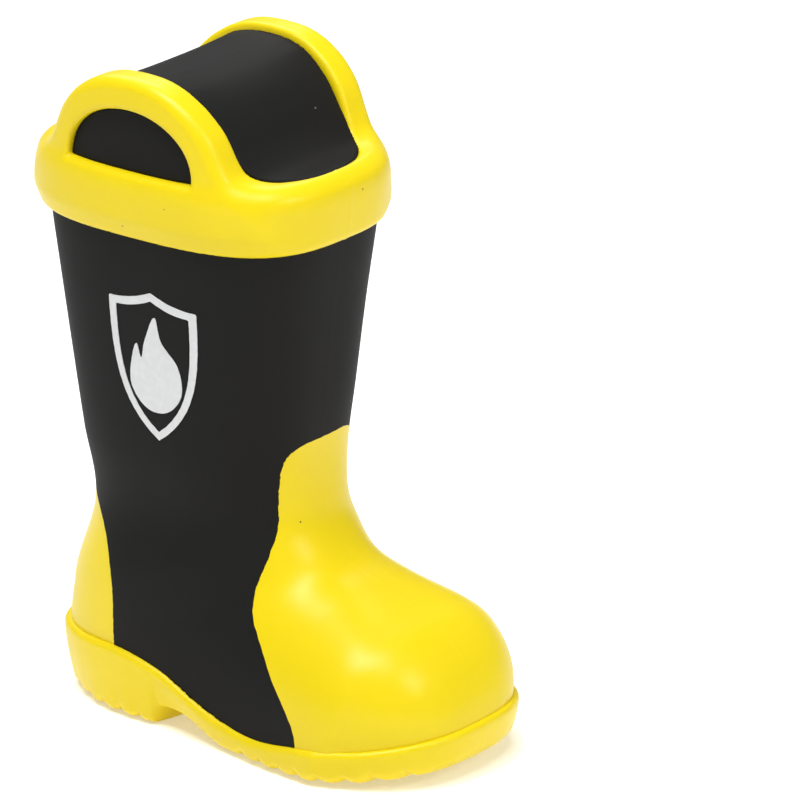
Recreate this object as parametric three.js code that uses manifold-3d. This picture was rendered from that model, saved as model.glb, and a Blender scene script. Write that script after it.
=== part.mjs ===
// Fire boot squeeze toy: a palm-size pull-on fire boot cast in soft foam, one boot standing on its sole.
// Millimetres, +Z up, toe to -Y, heel to +Y, +X the boot's left flank, ground at z = 0 and the origin
// under the middle of the boot's box. The constants below are measured from the leg's own axis (y = 0).
import * as THREE from "three";
import { mergeVertices } from "three/addons/utils/BufferGeometryUtils.js";
import Module from "manifold-3d";

const wasm = await Module();
wasm.setup();

// ---- driving dimensions
const HEIGHT = 110; // ground to the top of the pull handles
const GAP = 0.3; // clearance between neighbouring pieces
const SKIN = 2; // thickness of the coloured skins over the foam core
const AROUND = 40; // facets round the leg and the foot

// Upper, section by section down the leg and out along the foot: front and back points as [y, z],
// half width, and the squareness of the oval (2 is an ellipse).
const SECTIONS = [
  { front: [-28, 97], back: [26.6, 97], half: 21, square: 2.9 },
  { front: [-26.6, 84], back: [25, 84], half: 20.2, square: 2.9 },
  { front: [-24.8, 70], back: [23.2, 70], half: 19.2, square: 2.8 },
  { front: [-23.4, 56], back: [21.5, 56], half: 18, square: 2.7 },
  { front: [-22.5, 46], back: [20.4, 46], half: 17, square: 2.6 },
  { front: [-23.4, 38.5], back: [19.2, 33], half: 15.4, square: 2.5 },
  { front: [-25, 33.9], back: [23.2, 18], half: 17, square: 2.5 },
  { front: [-28.8, 29.8], back: [22, 4], half: 17.4, square: 2.5 },
  { front: [-34.4, 27.8], back: [2, -8], half: 18.5, square: 2.5 },
];
const TOE = { y: -39.4, z: 6, length: 15.8, height: 19.1, half: 21.6, taper: 0.62, drop: 12, square: 2.6 };
const TOE_STEPS = [10, 30, 50, 68, 82];
const STEPS_PER_SECTION = 3;

// Collar band, its rounded rim, and the mouth inside it.
const RIM = { y: -0.6, length: 27.9, half: 21.7, square: 2.9 };
const BAND = [
  [83.7, -2.1],
  [83.9, -1.2],
  [85.2, -0.5],
  [87.5, -0.15],
  [90.8, 0],
  [92.2, -0.1],
  [93.3, -0.5],
  [94.2, -1.3],
  [94.9, -2.3],
  [94.8, -3],
  [94.2, -3.5],
]; // height, offset from the rim oval
const LIP_Z = 92.4; // underside of the lip that turns in over the leg
const MOUTH = { y: -1.2, length: 23.8, half: 15.2, square: 2.7 };
const COVER_FLOOR = 92.7;
// Side line of the cover from its crest to the mouth's end: distance from the leg's axis, height.
const COVER_CREST = [
  [0, 108.9],
  [3, 108.8],
  [5, 108.4],
  [7, 107.8],
  [9, 106.6],
  [11, 105],
  [13, 103],
  [15, 100.3],
  [17, 97.6],
  [18.5, 95.9],
  [20.5, 94.7],
  [25, 94.1],
];
// The same line half way between the handles, where the cover dips.
const COVER_MIDDLE = [
  [0, 107.8],
  [6, 107.2],
  [10.5, 105.4],
  [14, 102.4],
  [16.8, 99.1],
  [19.6, 96.8],
  [22.4, 95.5],
  [25, 94.6],
];

// Pull handles and the D-shaped hand windows under them.
const HANDLE = { thick: 6.4, lean: 0.06, square: 3 };
const HANDLE_LINE = [
  [23.8, 90.2],
  [21, 93.6],
  [18.7, 95.8],
  [17.1, 98.4],
  [15.9, 101],
  [14.6, 103.2],
  [12.4, 105.6],
  [10.3, 107.2],
  [7.6, 108.7],
  [4.2, 109.7],
  [0, HEIGHT],
];
const WINDOW = { half: 12.5, bottom: 94.6, top: 104.7, recess: 1.4 };

// Outsole: half widths down its length, height of its upper edge, arch and tread.
const SOLE = {
  heelY: 25,
  toeY: -55.4,
  halves: [
    [23.1, 9.3],
    [16, 15.2],
    [5, 17.9],
    [-8, 18],
    [-19, 19.8],
    [-31, 21.9],
    [-40, 21.5],
    [-48, 18.2],
  ],
  waist: { y: -9, reach: 8, tuck: 0.8 },
  spring: { from: -28, rise: 2.5 },
  top: [
    [25, 11.9],
    [20, 12],
    [15, 12.2],
    [10, 12.5],
    [6, 12.6],
    [2, 12.2],
    [-2, 11.4],
    [-5.5, 10.3],
    [-9.5, 8.6],
    [-13, 7.3],
    [-17, 6.2],
    [-21, 5.5],
    [-25, 5.2],
    [-29, 5.4],
    [-34, 6.1],
    [-39, 6.7],
    [-44, 7.1],
    [-48, 7.7],
    [-51, 8.2],
    [-55.4, 9],
  ],
};
const SOLE_WALL = [
  [0, -1.1],
  [0.35, -0.3],
  [1.1, 0],
]; // depth below the upper edge, inset
const SOLE_FOOT = [
  [1.6, -0.9],
  [0.5, -1.4],
  [0, -2.1],
]; // height above the ground, inset
const ARCH = { breast: -1.2, top: 3.2, front: -9, end: -16.5 };
const TREAD = { pitch: 4.1, width: 1.7, depth: 0.9, heel: [1.5, 22.5], fore: [-47.5, -18] };

// Side outlines of the toe cap and of the heel counter, as [y, z] from the top down.
const TOE_TOP = 49.4;
const TOE_LINES = {
  right: [
    [-22.6, 49.4],
    [-21.5, 47.6],
    [-21, 44.5],
    [-20.9, 40],
    [-21.2, 34.5],
    [-21.2, 32],
    [-20.5, 28.5],
    [-20.2, 26],
    [-20.9, 23.2],
    [-22.9, 20.2],
    [-27, 15.2],
    [-31.2, 11],
    [-33.6, 7.5],
    [-34.2, 3],
  ],
  left: [
    [-22.2, 49.4],
    [-20.4, 47.6],
    [-19.9, 44.5],
    [-19.9, 40],
    [-20.2, 36],
    [-20.1, 32],
    [-19.8, 28.5],
    [-19.6, 25],
    [-20.3, 22.2],
    [-22.6, 18.7],
    [-26.2, 14],
    [-28.6, 10.5],
    [-29.4, 7.5],
    [-29.3, 3],
  ],
};
const HEEL_LINE = [
  [22, 36.6],
  [18.2, 36],
  [15.2, 34.4],
  [12, 31.6],
  [9.6, 28.4],
  [7.8, 24.2],
  [7, 20],
  [6.9, 14],
  [6.8, 5],
];

// Printed badge on the right flank.
const PRINT = { y: -3.5, z: 62.5, thick: 0.2, lift: 0.1 };

// ---- geometry helpers
function signedPower(value, exponent) {
  return Math.sign(value) * Math.abs(value) ** exponent;
}

// Catmull-Rom through rows of numbers; t counts rows.
function alongRows(rows, t) {
  const i = Math.min(Math.floor(t), rows.length - 2);
  const f = t - i;
  const at = (k) => rows[Math.min(Math.max(k, 0), rows.length - 1)];
  const [a, b, c, d] = [at(i - 1), at(i), at(i + 1), at(i + 2)];
  return b.map((value, k) => {
    const rise = c[k] - a[k];
    const curve = 2 * a[k] - 5 * value + 4 * c[k] - d[k];
    const twist = 3 * value - a[k] - 3 * c[k] + d[k];
    return value + 0.5 * f * (rise + f * (curve + f * twist));
  });
}

// Smooth [y, z] polyline through control points.
function smoothLine(points, steps) {
  const line = [];
  const count = (points.length - 1) * steps;
  for (let i = 0; i <= count; i += 1) line.push(alongRows(points, i / steps));
  return line;
}

// Height on a [reach, height] table, its reaches all rising or all falling.
function heightAt(table, reach) {
  const falling = table[0][0] > table[1][0];
  const passed = table.findIndex(([at]) => (falling ? at <= reach : at >= reach));
  const i = passed < 0 ? table.length - 1 : Math.max(passed, 1);
  const [[r0, h0], [r1, h1]] = [table[i - 1], table[i]];
  const t = THREE.MathUtils.clamp((reach - r0) / (r1 - r0), 0, 1);
  return h0 + (h1 - h0) * t;
}

// Skin over rings of equal length; an apex closes an end with a point, otherwise the end is flat.
function loft(rings, startApex, endApex) {
  const positions = [];
  const count = rings[0].length;
  const total = (ring) => ring.reduce((sum, p) => sum.add(p), new THREE.Vector3());
  const middle = (ring) => total(ring).divideScalar(ring.length);
  const tips = [startApex ?? middle(rings[0]), endApex ?? middle(rings[rings.length - 1])];
  for (const ring of rings) for (const p of ring) positions.push(p.x, p.y, p.z);
  for (const p of tips) positions.push(p.x, p.y, p.z);
  const index = [];
  const start = rings.length * count;
  for (let j = 0; j < count; j += 1) {
    const k = (j + 1) % count;
    for (let i = 0; i + 1 < rings.length; i += 1) {
      const [a, b] = [i * count + j, i * count + k];
      const [c, d] = [a + count, b + count];
      index.push(a, b, d, a, d, c);
    }
    index.push(start, k, j);
    index.push(start + 1, start - count + j, start - count + k);
  }
  const geometry = new THREE.BufferGeometry();
  geometry.setAttribute("position", new THREE.Float32BufferAttribute(positions, 3));
  geometry.setIndex(index);
  return geometry;
}

// Closed solid ready for joins and cuts, turned face out if need be.
function solid(source) {
  const bare = source.clone();
  bare.deleteAttribute("normal");
  bare.deleteAttribute("uv");
  const merged = mergeVertices(bare, 1e-4);
  const vertProperties = Float32Array.from(merged.attributes.position.array);
  const triVerts = Uint32Array.from(merged.index.array);
  const made = new wasm.Manifold(new wasm.Mesh({ numProp: 3, vertProperties, triVerts }));
  if (made.volume() > 0) return made;
  for (let i = 0; i < triVerts.length; i += 3) {
    [triVerts[i + 1], triVerts[i + 2]] = [triVerts[i + 2], triVerts[i + 1]];
  }
  return new wasm.Manifold(new wasm.Mesh({ numProp: 3, vertProperties, triVerts }));
}

// Outline in the side view ([y, z] points) carried across from x0 to x1.
function sidePrism(points, x0, x1) {
  const shape = new THREE.Shape(points.map(([y, z]) => new THREE.Vector2(y, z)));
  const geometry = new THREE.ExtrudeGeometry(shape, { depth: x1 - x0, bevelEnabled: false });
  const turn = new THREE.Matrix4().makeBasis(
    new THREE.Vector3(0, 1, 0),
    new THREE.Vector3(0, 0, 1),
    new THREE.Vector3(1, 0, 0),
  );
  geometry.applyMatrix4(turn);
  geometry.translate(x0, 0, 0);
  return solid(geometry);
}

const WIDE = 40; // half width of the cutting prisms
const BLANK_TOP = 20; // top of the outsole's blank before its upper edge is cut

// ---- upper
function upperRows(offset) {
  const rows = SECTIONS.map(({ front, back, half, square }) => {
    const length = Math.hypot(front[0] - back[0], front[1] - back[1]);
    const k = offset / length;
    const [dy, dz] = [(front[0] - back[0]) * k, (front[1] - back[1]) * k];
    return [front[0] + dy, front[1] + dz, back[0] - dy, back[1] - dz, half + offset, square];
  });
  for (const degrees of TOE_STEPS) {
    const a = THREE.MathUtils.degToRad(degrees);
    const front = TOE.y - (TOE.length + offset) * Math.sin(a);
    const rise = (TOE.height + offset) * Math.cos(a);
    const back = front + TOE.drop * Math.cos(a);
    const half = (TOE.half + offset) * Math.cos(a) ** TOE.taper;
    rows.push([front, TOE.z + rise, back, TOE.z - rise, half, TOE.square]);
  }
  return rows;
}

function ovalRing([fy, fz, by, bz, half, square]) {
  const points = [];
  for (let i = 0; i < AROUND; i += 1) {
    const a = (2 * Math.PI * i) / AROUND;
    const c = signedPower(Math.cos(a), 2 / square);
    const s = signedPower(Math.sin(a), 2 / square);
    const y = (fy + by) / 2 + ((fy - by) / 2) * c;
    const z = (fz + bz) / 2 + ((fz - bz) / 2) * c;
    points.push(new THREE.Vector3(half * s, y, z));
  }
  return points;
}

function upperSolid(offset) {
  const rows = upperRows(offset);
  const rings = [];
  const count = (rows.length - 1) * STEPS_PER_SECTION;
  for (let i = 0; i <= count; i += 1) rings.push(ovalRing(alongRows(rows, i / STEPS_PER_SECTION)));
  const tip = new THREE.Vector3(0, TOE.y - TOE.length - offset, TOE.z);
  return solid(loft(rings, undefined, tip));
}

// Rise of the underside towards the toe.
function toeSpring(y) {
  const t = Math.max((SOLE.spring.from - y) / (SOLE.spring.from - SOLE.toeY), 0);
  return SOLE.spring.rise * t * t;
}

function soleTop(y) {
  return heightAt(SOLE.top, y);
}

// Side outline above the sole's upper edge, up to a height.
function aboveSole(clearance, top, back = 40, front = -60) {
  const line = [];
  const steps = 40;
  for (let i = 0; i <= steps; i += 1) {
    const y = front + ((back - front) * i) / steps;
    line.push([y, soleTop(y) + clearance]);
  }
  line.push([back, top], [front, top]);
  return line;
}

const outer = upperSolid(0);
const inner = upperSolid(-SKIN);
const shell = outer.subtract(inner).intersect(sidePrism(aboveSole(GAP, LIP_Z - GAP), -WIDE, WIDE));
const core = upperSolid(-SKIN - GAP).intersect(sidePrism(aboveSole(GAP, LIP_Z - GAP), -WIDE, WIDE));

function shifted(points, dy, dz) {
  return points.map(([y, z]) => [y + dy, z + dz]);
}

const heelLine = smoothLine(HEEL_LINE, 4);
function toeRegion(clearance) {
  const top = TOE_TOP - clearance;
  const outline = (points) => {
    const line = smoothLine(points, 3).map(([y, z]) => [y - 1.5 * clearance, Math.min(z, top - 0.1)]);
    const [start, end] = [line[0], line[line.length - 1]];
    return [[-70, top], [-70, -20], [end[0], -20], ...line.reverse(), [start[0], top]];
  };
  return sidePrism(outline(TOE_LINES.right), -WIDE, 0).add(sidePrism(outline(TOE_LINES.left), 0, WIDE));
}
function heelRegion(clearance) {
  const line = shifted(heelLine, clearance, -clearance);
  const [start, end] = [line[0], line[line.length - 1]];
  return sidePrism([[40, start[1]], ...line, [end[0], -20], [40, -20]], -WIDE, WIDE);
}
const toeCap = shell.intersect(toeRegion(GAP / 2));
const heelCounter = shell.intersect(heelRegion(GAP / 2));
const shaftSkin = shell.subtract(toeRegion(-GAP / 2)).subtract(heelRegion(-GAP / 2));

// ---- outsole
function soleOutline(offset, tuck) {
  const right = [[SOLE.heelY, 0], ...SOLE.halves, [SOLE.toeY, 0]];
  const left = [...SOLE.halves].reverse().map(([y, half]) => [y, -half]);
  const knots = [...right, ...left].map(([y, x]) => new THREE.Vector3(x, y, 0));
  const curve = new THREE.CatmullRomCurve3(knots, true, "centripetal");
  const count = 60;
  const points = [];
  for (let i = 0; i < count; i += 1) {
    const at = curve.getPointAt(i / count);
    const along = curve.getTangentAt(i / count);
    const nearWaist = Math.exp(-(((at.y - SOLE.waist.y) / SOLE.waist.reach) ** 2));
    const move = offset - tuck * nearWaist;
    points.push([at.x - along.y * move, at.y + along.x * move]);
  }
  return points;
}

function soleRing(height, offset, tuck) {
  return soleOutline(offset, tuck).map(([x, y]) => new THREE.Vector3(x, y, height(y)));
}

const soleRings = [soleRing(() => BLANK_TOP, SOLE_WALL[0][1], 0)];
for (const [depth, inset] of SOLE_WALL) soleRings.push(soleRing((y) => soleTop(y) - depth, inset, 0));
for (const [height, inset] of SOLE_FOOT) {
  soleRings.push(soleRing((y) => height + toeSpring(y), inset, SOLE.waist.tuck));
}
// The underside is flat from the ball of the foot back to the heel.
const ball = new THREE.Vector3(0, SOLE.spring.from + 2, 0);
let outsole = solid(loft(soleRings, undefined, ball));
outsole = outsole.subtract(sidePrism(aboveSole(0, BLANK_TOP + 1), -WIDE, WIDE));

const archLine = [
  [ARCH.breast, -1],
  [ARCH.breast - 0.2, 1],
  [ARCH.breast - 1.4, ARCH.top - 0.5],
  [ARCH.breast - 3.4, ARCH.top],
  [ARCH.front, ARCH.top - 0.6],
  [ARCH.end, -1],
];
outsole = outsole.subtract(sidePrism(archLine, -WIDE, WIDE));
for (const [from, to] of [TREAD.heel, TREAD.fore]) {
  for (let y = from; y <= to; y += TREAD.pitch) {
    const groove = [[y - TREAD.width / 2, -0.5], [y, TREAD.depth], [y + TREAD.width / 2, -0.5]];
    outsole = outsole.subtract(sidePrism(groove, -WIDE, WIDE));
  }
}

// ---- collar with pull handles
function rimRing(z, offset) {
  const points = [];
  for (let i = 0; i < AROUND; i += 1) {
    const a = (2 * Math.PI * i) / AROUND;
    const c = signedPower(Math.cos(a), 2 / RIM.square);
    const s = signedPower(Math.sin(a), 2 / RIM.square);
    points.push(new THREE.Vector3((RIM.half + offset) * s, RIM.y - (RIM.length + offset) * c, z));
  }
  return points;
}

function rimHalf(y) {
  const u = Math.min(Math.abs(y - RIM.y) / RIM.length, 1);
  return RIM.half * (1 - u ** RIM.square) ** (1 / RIM.square);
}

// Half width of the mouth at a station.
function mouthHalf(y) {
  const u = Math.abs(y - MOUTH.y) / MOUTH.length;
  return MOUTH.half * (1 - u ** MOUTH.square) ** (1 / MOUTH.square);
}

function handleSolid(side) {
  const outerLine = [...HANDLE_LINE, ...HANDLE_LINE.slice(0, -1).reverse().map(([y, z]) => [-y, z])];
  const rings = [];
  const steps = 26;
  for (let i = 0; i <= steps; i += 1) {
    const a = (Math.PI * i) / steps;
    const [oy, oz] = alongRows(outerLine, ((outerLine.length - 1) * i) / steps);
    const iy = WINDOW.half * 0.94 * Math.cos(a);
    const iz = WINDOW.bottom - 1.5 + (WINDOW.top - 0.5 - WINDOW.bottom + 1.5) * Math.sin(a);
    const ring = [];
    for (let j = 0; j < 14; j += 1) {
      const b = (2 * Math.PI * j) / 14;
      const c = signedPower(Math.cos(b), 2 / HANDLE.square);
      const s = signedPower(Math.sin(b), 2 / HANDLE.square);
      const y = (oy + iy) / 2 + ((oy - iy) / 2) * c;
      const z = (oz + iz) / 2 + ((oz - iz) / 2) * c;
      const middle = rimHalf(y) - HANDLE.thick / 2 - HANDLE.lean * Math.max(z - LIP_Z, 0);
      ring.push(new THREE.Vector3(side * (middle + (HANDLE.thick / 2) * s), y, z));
    }
    rings.push(ring);
  }
  return solid(loft(rings));
}

function windowLine(clearance) {
  const points = [];
  const steps = 16;
  const half = WINDOW.half - clearance;
  for (let i = 0; i <= steps; i += 1) {
    const a = (Math.PI * i) / steps;
    const rise = (WINDOW.top - WINDOW.bottom - 2 * clearance) * Math.sin(a) ** 0.9;
    points.push([half * Math.cos(a), WINDOW.bottom + clearance + rise]);
  }
  return points;
}

// Slab with its sides on the mouth outline, its top a saddle or flat.
function mouthSlab(clearance, floor, topAt) {
  const rings = [];
  const steps = 28;
  const across = 10;
  for (let i = 1; i < steps; i += 1) {
    const u = -Math.cos((Math.PI * i) / steps);
    const y = MOUTH.y + (MOUTH.length - clearance) * u;
    const half = mouthHalf(MOUTH.y + MOUTH.length * u) - clearance;
    const ring = [];
    for (let j = 0; j <= across; j += 1) {
      const v = -1 + (2 * j) / across;
      ring.push(new THREE.Vector3(half * v, y, topAt(y, half * v)));
    }
    for (let j = across; j >= 0; j -= 1) {
      const v = -1 + (2 * j) / across;
      ring.push(new THREE.Vector3(half * v, y, floor));
    }
    rings.push(ring);
  }
  return solid(loft(rings));
}

function coverTop(y, x) {
  const middle = heightAt(COVER_MIDDLE, Math.abs(y));
  return middle + (heightAt(COVER_CREST, Math.abs(y)) - middle) * (x / MOUTH.half) ** 2;
}

let collar = solid(loft(BAND.map(([z, offset]) => rimRing(z, offset))));
collar = collar.add(handleSolid(-1)).add(handleSolid(1));
collar = collar.subtract(upperSolid(GAP).intersect(sidePrism(aboveSole(0, LIP_Z), -WIDE, WIDE)));
collar = collar.subtract(mouthSlab(0, LIP_Z - 1, () => HEIGHT + 5));
const windowCut = windowLine(0);
collar = collar.subtract(sidePrism(windowCut, 8, WIDE)).subtract(sidePrism(windowCut, -WIDE, -8));
const mouthCover = mouthSlab(GAP, COVER_FLOOR, coverTop);

function windowPanel(side) {
  const face = rimHalf(0) - WINDOW.recess;
  const from = side > 0 ? MOUTH.half + GAP : -face;
  const to = side > 0 ? face : -MOUTH.half - GAP;
  return sidePrism(windowLine(GAP), from, to);
}

// ---- printed badge: a shield outline round a flame, following the leg
function shieldLine(half, top, bottom) {
  const shape = new THREE.Shape();
  shape.moveTo(0, top);
  shape.quadraticCurveTo(half * 0.5, top * 0.84, half, top * 0.84);
  shape.bezierCurveTo(half, 0, half * 0.9, bottom * 0.6, 0, bottom);
  shape.bezierCurveTo(-half * 0.9, bottom * 0.6, -half, 0, -half, top * 0.84);
  shape.quadraticCurveTo(-half * 0.5, top * 0.84, 0, top);
  return shape.getPoints(6).map((p) => [p.x, p.y]);
}
const SHIELD = { half: 8.6, top: 12.5, bottom: -13, band: 1.4 };
const FLAME = [
  [-0.6, 8.4],
  [-1.6, 4.4],
  [-4.6, 0.6],
  [-4.9, -4.4],
  [-1.9, -7.8],
  [2, -7.8],
  [4.9, -4.4],
  [4.6, 0.2],
  [3.4, 3.2],
  [2.6, 0.8],
  [1.8, 3.6],
];

function printed(line) {
  const region = sidePrism(shifted(line, PRINT.y, PRINT.z), -WIDE, 0);
  return upperSolid(PRINT.lift + PRINT.thick).subtract(upperSolid(PRINT.lift)).intersect(region);
}
const inset = 1 - SHIELD.band / SHIELD.half;
const shieldOuter = shieldLine(SHIELD.half, SHIELD.top, SHIELD.bottom);
const shieldInner = shieldOuter.map(([y, z]) => [y * inset, z * (1 - SHIELD.band / SHIELD.top)]);
const shieldHole = sidePrism(shifted(shieldInner, PRINT.y, PRINT.z), -WIDE, 0);
const badgeRing = printed(shieldOuter).subtract(shieldHole);

// ---- the part
const BLACK = 0x2a2a2a;
const YELLOW = 0xf4d52a;
const WHITE = 0xe6e6e6;
const FOAM = 0xd9c25a;
const part = new THREE.Group();
part.name = "fire_boot_squeeze_toy";
// The box ends at the collar's back and the sole's toe.
const middleY = -(RIM.y + RIM.length + SOLE.toeY) / 2;

function addPiece(name, body, color) {
  const mesh = body.getMesh();
  const geometry = new THREE.BufferGeometry();
  geometry.setAttribute("position", new THREE.BufferAttribute(new Float32Array(mesh.vertProperties), 3));
  geometry.setIndex(new THREE.BufferAttribute(new Uint32Array(mesh.triVerts), 1));
  geometry.translate(0, middleY, 0);
  geometry.computeVertexNormals();
  const piece = new THREE.Mesh(geometry, new THREE.MeshStandardMaterial({ color, roughness: 0.6 }));
  piece.name = name;
  part.add(piece);
}

addPiece("foam_core", core, FOAM);
addPiece("shaft_skin", shaftSkin, BLACK);
addPiece("toe_cap", toeCap, YELLOW);
addPiece("heel_counter", heelCounter, YELLOW);
addPiece("outsole", outsole, YELLOW);
addPiece("collar_with_handles", collar, YELLOW);
addPiece("mouth_cover", mouthCover, BLACK);
addPiece("window_panel_left", windowPanel(1), BLACK);
addPiece("window_panel_right", windowPanel(-1), BLACK);
addPiece("print_badge_ring", badgeRing, WHITE);
addPiece("print_flame", printed(smoothLine([...FLAME, FLAME[0]], 3)), WHITE);

export default part;
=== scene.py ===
import math

import bmesh
import bpy
import numpy as np
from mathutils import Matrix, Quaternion, Vector


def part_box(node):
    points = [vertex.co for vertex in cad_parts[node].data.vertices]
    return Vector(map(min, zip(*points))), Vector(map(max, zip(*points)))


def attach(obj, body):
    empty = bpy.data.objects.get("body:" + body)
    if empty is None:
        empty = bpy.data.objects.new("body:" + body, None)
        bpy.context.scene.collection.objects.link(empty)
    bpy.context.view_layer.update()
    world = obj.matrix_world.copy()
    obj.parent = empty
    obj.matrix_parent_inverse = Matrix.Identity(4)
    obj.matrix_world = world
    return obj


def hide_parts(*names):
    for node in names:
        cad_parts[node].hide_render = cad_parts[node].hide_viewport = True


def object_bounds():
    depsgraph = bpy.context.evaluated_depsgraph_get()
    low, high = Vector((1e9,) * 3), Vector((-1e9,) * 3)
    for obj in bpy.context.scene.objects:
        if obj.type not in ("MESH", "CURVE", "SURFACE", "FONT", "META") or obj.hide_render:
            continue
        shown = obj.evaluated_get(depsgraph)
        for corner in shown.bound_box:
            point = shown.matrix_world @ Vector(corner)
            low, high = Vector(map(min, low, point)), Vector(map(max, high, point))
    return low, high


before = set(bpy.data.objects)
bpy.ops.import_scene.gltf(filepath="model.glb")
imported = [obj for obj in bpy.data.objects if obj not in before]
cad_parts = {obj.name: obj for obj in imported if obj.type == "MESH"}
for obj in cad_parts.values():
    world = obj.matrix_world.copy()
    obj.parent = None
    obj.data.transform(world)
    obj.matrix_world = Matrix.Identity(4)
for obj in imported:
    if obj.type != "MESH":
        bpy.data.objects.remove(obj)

cad_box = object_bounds()
MM = 0.001

# ---- driving dimensions, most of them the CAD's own
# The band, the windows, the arch, the tread and the toe cap's right edge follow the photo more closely here.
# Upper, down the leg and out along the foot: front y, z, back y, z, half width, squareness of the oval.
SECTIONS = [
    (-28, 97, 26.6, 97, 21, 2.9),
    (-26.6, 84, 25, 84, 20.2, 2.9),
    (-24.8, 70, 23.2, 70, 19.2, 2.8),
    (-23.4, 56, 21.5, 56, 18, 2.7),
    (-22.5, 46, 20.4, 46, 17, 2.6),
    (-23.4, 38.5, 19.2, 33, 15.4, 2.5),
    (-25, 33.9, 23.2, 18, 17, 2.5),
    (-28.8, 29.8, 22, 4, 17.4, 2.5),
    (-34.4, 27.8, 2, -8, 18.5, 2.5),
]
TOE = dict(y=-39.4, z=6, length=15.8, height=19.1, half=21.6, taper=0.62, drop=12, square=2.6)
TOE_STEPS = (10, 30, 50, 68, 82, 89)
SKIN = 2  # thickness of the coloured skins

RIM = dict(y=-0.6, length=27.9, half=21.7, square=2.9)
BAND = [
    (-2.1, 83.7),
    (-1.2, 83.85),
    (-0.55, 84.7),
    (-0.2, 87.5),
    (0, 90.4),
    (-0.05, 91.8),
    (-0.35, 93.1),
    (-1.1, 94.1),
    (-2.2, 94.8),
    (-3.4, 95),
    (-6.4, 94.7),
    (-9, 94.3),
]  # offset from the rim oval, height
BAND_FLOOR = 83.7
MOUTH = dict(y=-1.2, length=23.8, half=15.2, square=2.7)
COVER_CREST = [
    (0, 108.9),
    (3, 108.8),
    (5, 108.4),
    (7, 107.8),
    (9, 106.6),
    (11, 105),
    (13, 103),
    (15, 100.3),
    (17, 97.6),
    (18.5, 95.9),
    (20.5, 94.7),
    (25, 94.1),
    (28, 94),
]  # crests beside the mouth: distance from the leg's axis, height
COVER_MIDDLE = [
    (0, 107.8),
    (6, 107.2),
    (10.5, 105.4),
    (14, 102.4),
    (16.8, 99.1),
    (19.6, 96.8),
    (22.4, 95.5),
    (25, 94.6),
    (28, 94.4),
]  # the same, half way between the handles
COVER_FLOOR = 92.7

HANDLE = dict(thick=6.4, lean=0.06, top=1.9, from_z=92.4)
HANDLE_LINE = [
    (25.4, 86),
    (23.8, 90.2),
    (21, 93.6),
    (18.7, 95.8),
    (17.1, 98.4),
    (15.9, 101),
    (14.6, 103.2),
    (12.4, 105.6),
    (10.3, 107.2),
    (7.6, 108.7),
    (4.2, 109.7),
    (0, 110),
]  # outer edge of a handle: distance from the leg's axis, height
WINDOW = dict(half=12.5, bottom=94.9, sag=0.15, top=104.8, curve=0.9, recess=1.3, thick=3, inner=12)

SOLE_HEEL = 25
SOLE_TOE = -55.4
SOLE_HALVES = [
    (23.1, 9.3),
    (16, 15.2),
    (5, 17.9),
    (-8, 18),
    (-19, 19.8),
    (-31, 21.9),
    (-40, 21.5),
    (-48, 18.2),
]  # y, half width
SOLE_TOP = [
    (-57, 9.2),
    (-55.4, 9),
    (-51, 8.2),
    (-48, 7.7),
    (-44, 7.1),
    (-39, 6.7),
    (-34, 6.1),
    (-29, 5.4),
    (-25, 5.2),
    (-21, 5.5),
    (-17, 6.2),
    (-13, 7.3),
    (-9.5, 8.6),
    (-5.5, 10.3),
    (-2, 11.4),
    (2, 12.2),
    (6, 12.6),
    (10, 12.5),
    (15, 12.2),
    (20, 12),
    (26, 11.9),
]  # y, height
# The left flank's edge is higher than the right's.
SOLE_TILT = dict(toe=0.5, heel=1, start=-34, run=14, half=18)
SPRING = dict(start=-28, rise=2.5)
WAIST = dict(y=-9, reach=8, tuck=0.8, onset=1.2)
ARCH = dict(breast=-1.2, bulge=2.6, half=17, top=3.2, lip=0.3, step=1.6, end=-17.5, run=12.5)
TREAD = dict(pitch=4.1, depth=0.8, shape=0.6, fade=1, heel=(1.5, 23.5), fore=(-50.5, -19.5))

TOE_LINE_RIGHT = [
    (-22.6, 49.4),
    (-21.5, 47.6),
    (-21, 44.5),
    (-20.9, 40),
    (-21.2, 35.5),
    (-21, 31.2),
    (-20.3, 27),
    (-20.9, 23.2),
    (-22.9, 20.2),
    (-27, 15.2),
    (-31.2, 11),
    (-33.6, 7.5),
    (-34.2, 3),
]  # the cap's edge on the right flank: y, height
TOE_LINE_LEFT = [
    (-22.2, 49.4),
    (-20.4, 47.6),
    (-19.9, 44.5),
    (-19.9, 40),
    (-20.2, 36),
    (-20.1, 32),
    (-19.8, 28.5),
    (-19.6, 25),
    (-20.3, 22.2),
    (-22.6, 18.7),
    (-26.2, 14),
    (-28.6, 10.5),
    (-29.4, 7.5),
    (-29.3, 3),
]  # the cap's edge on the left flank
HEEL_LINE = [
    (22, 36.6),
    (18.2, 36),
    (15.2, 34.4),
    (12, 31.6),
    (9.6, 28.4),
    (7.8, 24.2),
    (7, 20),
    (6.9, 14),
    (6.8, 5),
]  # y, height

PRINT = dict(y=-3.5, z=62.5, lift=0.03, thick=0.1)
SHIELD = dict(half=8.6, top=12.5, bottom=-13, band=1.4, shoulder=0.84, dip=0.5, belly=0.9, hip=0.6)
FLAME = [
    (-0.6, 8.4),
    (-1.6, 4.4),
    (-4.6, 0.6),
    (-4.9, -4.4),
    (-1.9, -7.8),
    (2, -7.8),
    (4.9, -4.4),
    (4.6, 0.2),
    (3.4, 3.2),
    (2.6, 0.8),
    (1.8, 3.6),
]  # y, height from the badge's middle

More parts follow.
